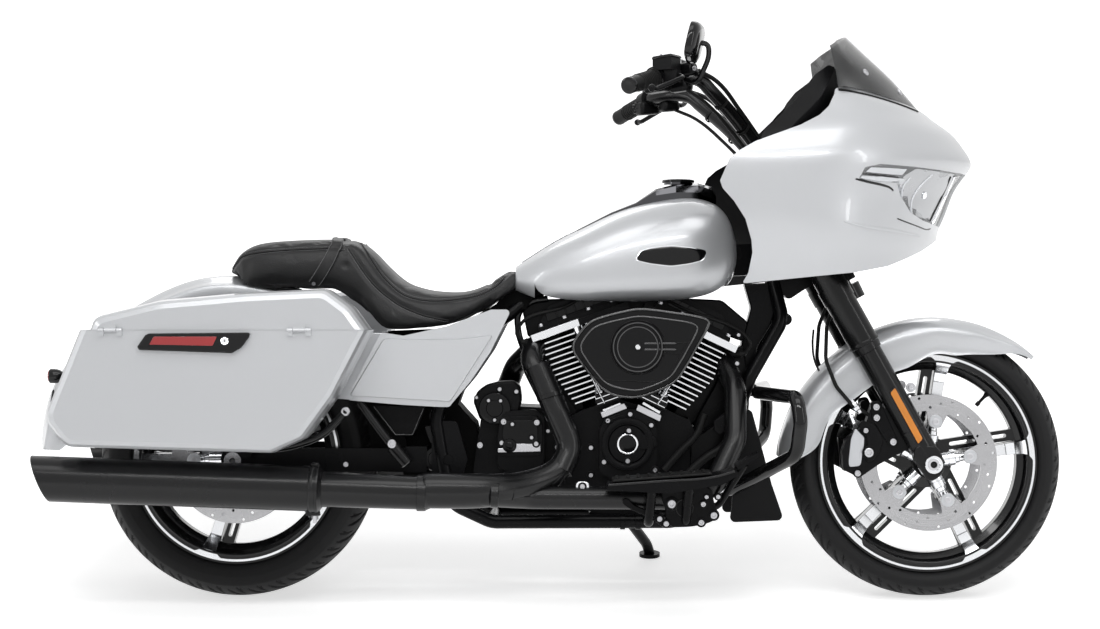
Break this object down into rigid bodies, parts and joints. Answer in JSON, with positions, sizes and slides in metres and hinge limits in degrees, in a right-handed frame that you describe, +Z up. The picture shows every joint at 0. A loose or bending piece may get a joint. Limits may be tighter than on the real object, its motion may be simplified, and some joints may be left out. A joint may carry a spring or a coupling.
{
  "type": "touring cruiser motorcycle",
  "caption": "Touring cruiser motorcycle with a frame-mounted fairing, hard saddlebags and an air-cooled V-twin, leaning on its side stand.",
  "frame": {"origin": "on the ground, at the middle of the footprint of the whole machine as it leans on its side stand", "axes": "+X forward, +Y to the machine's left, +Z up; the machine leans 10 degrees to its left about X"},
  "size_m": [2.4273, 1.0584, 1.3687],
  "materials": {
    "black_gloss": "gloss black",
    "black_metal": "satin black",
    "black_plastic": "matt",
    "body_silver": "gloss metallic",
    "cast_aluminium": "satin cast",
    "chrome": "polished",
    "disc_steel": "brushed",
    "engine_black": "wrinkle black",
    "exhaust_black": "satin heat-proof black",
    "fin_black": "black with machined fin edges",
    "fork_black": "satin black",
    "lamp_red": "gloss",
    "leather": "grained",
    "lens": "clear",
    "rubber": "matt",
    "smoked": "smoked",
    "steel": "satin",
    "tyre": "matt",
    "wheel_black": "gloss black with machined faces"
  },
  "bodies": {
    "chassis": {"frame": "black_metal", "crankcase": "engine_black", "cylinders": "fin_black", "cylinder_heads": "engine_black", "pushrod_tubes": "chrome", "cam_cover": "engine_black", "air_cleaner": "black_gloss", "gearbox": "engine_black", "primary_cover": "engine_black", "chin_cover": "black_plastic", "exhaust_headers": "exhaust_black", "mufflers": "exhaust_black", "swingarm": "black_metal", "rear_axle": "steel", "rear_shocks": "black_metal", "rear_caliper": "black_metal", "drive_belt": "rubber", "fuel_tank": "body_silver", "tank_console": "black_gloss", "seat": "leather", "rear_fender": "body_silver", "side_covers": "body_silver", "saddlebag_right": "body_silver", "saddlebag_left": "body_silver", "bag_latches": "black_plastic", "bag_supports": "black_metal", "tail_lamps": "lamp_red", "fairing": "body_silver", "dash": "black_plastic", "headlamps": "lens", "windscreen": "smoked", "fairing_bracket": "black_metal", "engine_guard": "black_gloss", "footboards": "black_metal", "foot_controls": "black_metal"},
    "front_fork": {"triple_clamps": "fork_black", "fork_legs": "fork_black", "front_fender": "body_silver", "handlebar": "black_gloss", "grips": "rubber", "hand_controls": "black_plastic", "mirrors": "black_gloss", "front_axle": "steel", "front_calipers": "cast_aluminium", "brake_lines": "rubber"},
    "front_wheel": {"front_tyre": "tyre", "front_rim": "wheel_black", "front_discs": "disc_steel"},
    "rear_wheel": {"rear_tyre": "tyre", "rear_rim": "wheel_black", "rear_disc": "disc_steel", "rear_pulley": "cast_aluminium"},
    "stand": {"side_stand": "black_metal"},
    "right_lid": {"lid_right": "body_silver"},
    "left_lid": {"lid_left": "body_silver"}
  },
  "joints": [
    {"name": "steering", "type": "hinge", "parent": "chassis", "child": "front_fork", "pos_m": [0.66938, -0.01354, 0.79976], "axis": [-0.4384, 0.1561, 0.8851], "range_deg": [-35, 35]},
    {"name": "front_wheel_spin", "type": "hinge", "parent": "front_fork", "child": "front_wheel", "pos_m": [0.89444, -0.09889, 0.31572], "axis": [0, 0.9848, -0.1736], "continuous": true},
    {"name": "rear_wheel_spin", "type": "hinge", "parent": "chassis", "child": "rear_wheel", "pos_m": [-0.73056, -0.09731, 0.32469], "axis": [0, 0.9848, -0.1736], "continuous": true},
    {"name": "side_stand_fold", "type": "hinge", "parent": "chassis", "child": "stand", "pos_m": [0.17444, 0.05931, 0.15329], "axis": [0, 0.7954, 0.6061], "range_deg": [0, 112]},
    {"name": "lid_right_hinge", "type": "hinge", "parent": "chassis", "child": "right_lid", "pos_m": [-0.73056, -0.49036, 0.70431], "axis": [1, 0, 0], "range_deg": [0, 75]},
    {"name": "lid_left_hinge", "type": "hinge", "parent": "chassis", "child": "left_lid", "pos_m": [-0.73056, 0.40188, 0.54698], "axis": [-1, 0, 0], "range_deg": [0, 75]}
  ]
}
